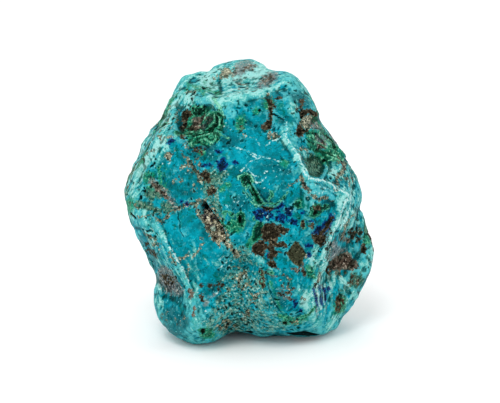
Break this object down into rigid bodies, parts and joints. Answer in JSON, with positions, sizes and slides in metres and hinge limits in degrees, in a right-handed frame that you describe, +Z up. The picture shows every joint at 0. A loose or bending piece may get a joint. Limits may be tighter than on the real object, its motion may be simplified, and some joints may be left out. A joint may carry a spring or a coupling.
{
  "type": "chrysocolla specimen",
  "caption": "Water-worn chrysocolla nugget with malachite and azurite, standing on worn flats, with a narrow quartz-lined vug in its front.",
  "frame": {"origin": "middle of the bounding box, at the level of the worn flats that the stone stands on", "axes": "+Z up as the stone stands, -Y out of its broad front, +X to the front's right"},
  "size_m": [0.0436, 0.0366, 0.0458],
  "materials": {
    "chrysocolla": "satin",
    "quartz_druse": "glossy"
  },
  "bodies": {
    "root": {"stone": "chrysocolla", "vug_druse": "quartz_druse"}
  },
  "joints": []
}
